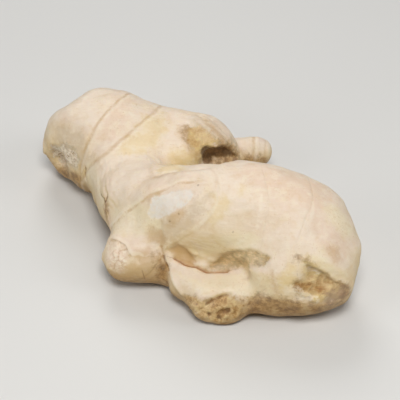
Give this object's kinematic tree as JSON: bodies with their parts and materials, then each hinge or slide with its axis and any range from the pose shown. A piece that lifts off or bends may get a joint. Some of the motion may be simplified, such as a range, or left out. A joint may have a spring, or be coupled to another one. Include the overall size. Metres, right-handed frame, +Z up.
{
  "type": "ginger root",
  "caption": "Knobbly ginger root lying flat: plump branching lobes with leaf scale rings, a folded bud, a short finger and corky scars.",
  "frame": {"origin": "on the table, under the middle of the root's bounding box", "axes": "+Z up; +X along the root's longest extent, from the old stem scar of the rear lobe to the blunt end of the front lobe; -Y towards the folded bud"},
  "size_m": [0.1224, 0.1154, 0.0466],
  "materials": {
    "skin": "thin pale beige skin with a faint waxy sheen, corky brown where it has scarred"
  },
  "bodies": {
    "root": {"ginger_root": "skin"}
  },
  "joints": []
}
